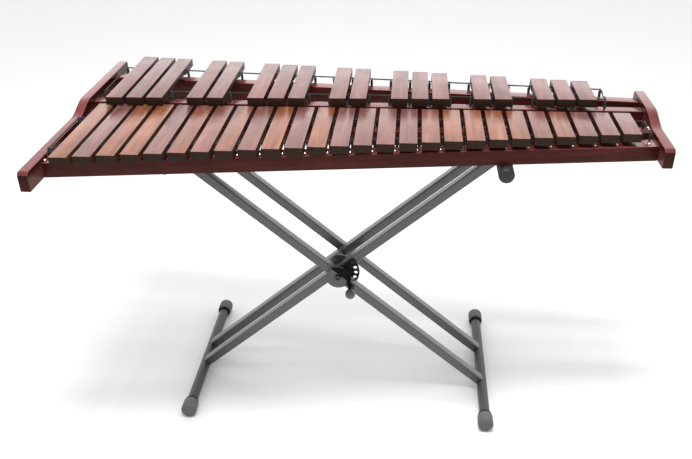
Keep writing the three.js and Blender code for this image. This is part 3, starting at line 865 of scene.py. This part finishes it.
def foot_bar(name, x, body):
    """The tube that lies on the floor, with a domed cap and a black collar at each end."""
    low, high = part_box(name)
    bm = bmesh.new()
    length = high.y - low.y - 2 * FOOT_TUBE_INSET
    rod(bm, (x, low.y + FOOT_TUBE_INSET, LEFT.z), ALONG_Y, TUBE_RADIUS, length, 48)
    piece("shown_" + name, bm, [FOOT_PAINT_SHADED], body, [name])
    dome = mm((0, 0), (0.2, 10), (0.9, 14), (2.6, 16.9), (5.2, 18.3), (9, 18.9))
    mouth = mm((34, 18.6), (36, 18.0), (37, 16.7), (37, 12.5), (36, 0))
    collar_loop = mm((37.1, 12.9), (37.1, 15.6), (38, 16.6), (43, 16.2), (44.8, 14.6), (44.8, 12.9))
    for side, word in ((-1, "front"), (1, "rear")):
        cap, collar = bmesh.new(), bmesh.new()
        tip = (x, low.y if side < 0 else high.y, LEFT.z)
        turned(cap, dome + mouth, tip, (0, -side, 0), 48)
        piece(f"{name}_{word}_cap", cap, [CAP], body)
        ring(collar, collar_loop, tip, (0, -side, 0), 48)
        piece(f"{name}_{word}_collar", collar, [COVER], body)


LEFT_ARM = Vector((LEFT.x, 0, ARM_Z))
RIGHT_ARM = Vector((RIGHT.x, 0, ARM_Z))
for word, side in (("front", -1), ("rear", 1)):
    inner_y, outer_y = STAND_Y + side * LEG_Y["inner"], STAND_Y + side * LEG_Y["outer"]
    inner_node = ["inner_leg_frame"] if word == "front" else []
    outer_node = ["outer_leg_frame"] if word == "front" else []
    leg_tube("inner_leg_" + word, LEFT, RIGHT_ARM, inner_y, "inner_legs", inner_node)
    leg_tube("outer_leg_" + word, RIGHT, LEFT_ARM, outer_y, "outer_legs", outer_node)
arm("left_arm", LEFT.x, "outer_legs")
arm("right_arm", RIGHT.x, "inner_legs")
foot_bar("left_foot_bar", LEFT.x, "left_foot")
foot_bar("right_foot_bar", RIGHT.x, "outer_legs")


# ---------------------------------------------------------------- clutch
def upright(loops, y, depth, name, material, body, replaces=(), bevel=PLATE_EDGE, segments=2):
    """A plate in the (x, z) plane, from y towards the viewer by depth."""
    bm = bmesh.new()
    slab(bm, loops, (0, -depth, 0), lambda u, v: (u, y, v))
    soften(bm, bevel, angle=35, segments=segments)
    return piece(name, bm, [material], body, replaces)


(pin,) = arc(*PIVOT, DISC_HOLE_CIRCLE, [-SLOPE])
hub_loops = [circle(*PIVOT, HUB_RADIUS, 72), circle(*PIVOT, BOLT_HOLE, 24), circle(*pin, PIN_HOLE, 20)]
upright(hub_loops, HUB_FACE + PLATE, PLATE, "hub_plate", STAND, "outer_legs")
inner_hub_rear = STAND_Y - LEG_Y["inner"] + LEG_WIDTH / 2 + PLATE
upright(hub_loops[:2], inner_hub_rear, PLATE, "inner_hub_plate", STAND, "inner_legs")

# A sector to the right of the pivot, on a small hub, with a row of holes for the pin.
disc_low, disc_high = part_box("locking_disc")
rim = [math.radians(degrees) for degrees in range(DISC_FROM, DISC_TO + 1, 4)]
hub = [math.radians(degrees) for degrees in range(DISC_TO, DISC_FROM + 361, 12)]
disc_loops = [arc(*PIVOT, DISC_RADIUS, rim) + arc(*PIVOT, DISC_HUB, hub), circle(*PIVOT, BOLT_HOLE, 24)]
hole_turns = [-SLOPE + math.radians(DISC_HOLE_STEP) * i for i in range(DISC_HOLES)]
for hole in arc(*PIVOT, DISC_HOLE_CIRCLE, hole_turns):
    disc_loops.append(circle(*hole, DISC_HOLE_RADIUS, 20))
disc_depth = disc_high.y - disc_low.y
upright(
    disc_loops,
    disc_high.y,
    disc_depth,
    "shown_locking_disc",
    BLACK_STEEL,
    "inner_legs",
    ["locking_disc"],
)

# A segment of a disc above the pivot, with a tongue beside the pin, turned with the sloping leg.
corner = math.asin(COVER_CHORD / COVER_RADIUS)
cover_turns = [corner + (math.pi - 2 * corner) * i / COVER_STEPS for i in range(COVER_STEPS + 1)]
cover = [(COVER_TONGUE[0], 0), (COVER_TONGUE[1], 0), *arc(0, 0, COVER_RADIUS, cover_turns)]
cover.append((COVER_TONGUE[0], COVER_CHORD))
turn = Matrix.Rotation(-SLOPE, 2)
cover = [(PIVOT[0] + p.x, PIVOT[1] + p.y) for p in (turn @ Vector(c) for c in cover)]
upright(
    [cover],
    HUB_FACE - GAP,
    COVER_THICKNESS,
    "shown_clutch_cover",
    COVER,
    "outer_legs",
    ["clutch_cover"],
    COVER_EDGE,
    3,
)

barrel = bmesh.new()
loop = [(0, BARREL_BORE), (0, BARREL_RADIUS - 0.9 * MM), (1 * MM, BARREL_RADIUS)]
loop += [(BARREL_LENGTH, BARREL_RADIUS), (BARREL_LENGTH, BARREL_BORE)]
ring(barrel, loop, (pin[0], HUB_FACE - GAP - BARREL_LENGTH, pin[1]), ALONG_Y)
piece("pin_barrel", barrel, [BLACK_PLASTIC], "outer_legs")

# A ball on the pin, which runs on through the barrel.
low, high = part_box("release_knob")
knob = bmesh.new()
ball = [math.pi * i / 22 for i in range(20)]
profile = [(KNOB_RADIUS - KNOB_RADIUS * math.cos(a), KNOB_RADIUS * math.sin(a)) for a in ball]
profile += [(2 * KNOB_RADIUS - 0.2 * MM, PIN_RADIUS), (high.y - low.y, PIN_RADIUS), (high.y - low.y, 0)]
turned(knob, profile, (pin[0], low.y + KNOB_LIFT, pin[1]), ALONG_Y, 48)
piece("shown_release_knob", knob, [KNOB], "pull_pin", ["release_knob"])

# A socket head, the shank, the spacer between the inner legs, and the nut.
bolt = bmesh.new()
low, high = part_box("pivot_bolt")
length = high.y - low.y
spacer_front = inner_hub_rear + GAP - low.y
spacer_rear = STAND_Y - low.y + LEG_Y["inner"] - LEG_WIDTH / 2 - GAP
profile = mm((3.2, 0), (3.2, 3.6), (0.6, 3.8), (0, 4.4), (0, 5.6), (0.4, 6.8), (1.4, 7.4))
profile += [(BOLT_HEAD_LENGTH, BOLT_HEAD_RADIUS), (BOLT_HEAD_LENGTH, BOLT_RADIUS)]
profile += [(spacer_front, BOLT_RADIUS), (spacer_front, SPACER_RADIUS)]
profile += [(spacer_rear, SPACER_RADIUS), (spacer_rear, BOLT_RADIUS)]
profile += [(length - NUT_LENGTH, BOLT_RADIUS), (length - NUT_LENGTH, NUT_RADIUS)]
profile += [(length - 0.8 * MM, NUT_RADIUS), (length, 6.6 * MM), (length, 5.5 * MM)]
profile += [(length - 1 * MM, BOLT_RADIUS), (length - 1 * MM, 0)]
turned(bolt, profile, (PIVOT[0], low.y, PIVOT[1]), ALONG_Y, 48)
piece("shown_pivot_bolt", bolt, [ZINC], "inner_legs", ["pivot_bolt"])


# ---------------------------------------------------------------- floor, light and camera
def area_light(name, place, target, size, power, tint=(1, 1, 1)):
    data = bpy.data.lights.new(name, "AREA")
    data.shape, data.size, data.size_y = "RECTANGLE", *size
    data.energy, data.color = power, tint
    made = bpy.data.objects.new(name, data)
    made.location = place
    made.rotation_euler = (Vector(target) - Vector(place)).to_track_quat("-Z", "Y").to_euler()
    bpy.context.scene.collection.objects.link(made)


floor_mesh = bmesh.new()
bmesh.ops.create_grid(floor_mesh, x_segments=1, y_segments=1, size=40)
mesh = bpy.data.meshes.new("floor")
floor_mesh.to_mesh(mesh)
floor_mesh.free()
floor = bpy.data.objects.new("floor", mesh)
bpy.context.scene.collection.objects.link(floor)
paper = Look("paper_floor")
paper.set(
    Base_Color=paper.mix(paper.noise(3.0), (0.90, 0.90, 0.90), (0.93, 0.93, 0.93)),
    Roughness=0.9,
    Specular_IOR_Level=0.2,
)
mesh.materials.append(paper.material)

world = bpy.data.worlds.new("studio")
bpy.context.scene.world = world
world.use_nodes = True
tree = world.node_tree
background = tree.nodes["Background"]
direction = tree.nodes.new("ShaderNodeTexCoord").outputs["Generated"]
parts = tree.nodes.new("ShaderNodeSeparateXYZ")
tree.links.new(direction, parts.inputs[0])
bright = tree.nodes.new("ShaderNodeMapRange")
bright.interpolation_type = "SMOOTHSTEP"
bright.inputs["From Min"].default_value = 0.30
bright.inputs["From Max"].default_value = 0.75
bright.inputs["To Min"].default_value = 0.66
bright.inputs["To Max"].default_value = 1.95
tree.links.new(parts.outputs["Y"], bright.inputs["Value"])
tree.links.new(bright.outputs[0], background.inputs["Strength"])
background.inputs["Color"].default_value = (1, 1, 1, 1)

area_light("top_softbox", (0, -0.3, 3.0), (0, -0.1, 0), (1.3, 0.5), 66)

lens = bpy.data.cameras.new("camera")
lens.sensor_width = 36
lens.lens = CAMERA_LENS
lens.clip_start, lens.clip_end = 0.05, 100
camera = bpy.data.objects.new("camera", lens)
bpy.context.scene.collection.objects.link(camera)
yaw, pitch, roll = CAMERA_YAW, CAMERA_PITCH, CAMERA_ROLL
ahead = Vector((-math.sin(yaw) * math.cos(pitch), math.cos(yaw) * math.cos(pitch), -math.sin(pitch)))
level = Vector((math.cos(yaw), math.sin(yaw), 0))
above = level.cross(ahead)
right = math.cos(roll) * level + math.sin(roll) * above
up = -math.sin(roll) * level + math.cos(roll) * above
facing = Matrix((right, up, -ahead)).transposed().to_4x4()
camera.matrix_world = Matrix.Translation(CAMERA_PLACE) @ facing
bpy.context.scene.camera = camera
bpy.context.scene.view_settings.view_transform = "Standard"

bpy.context.view_layer.update()
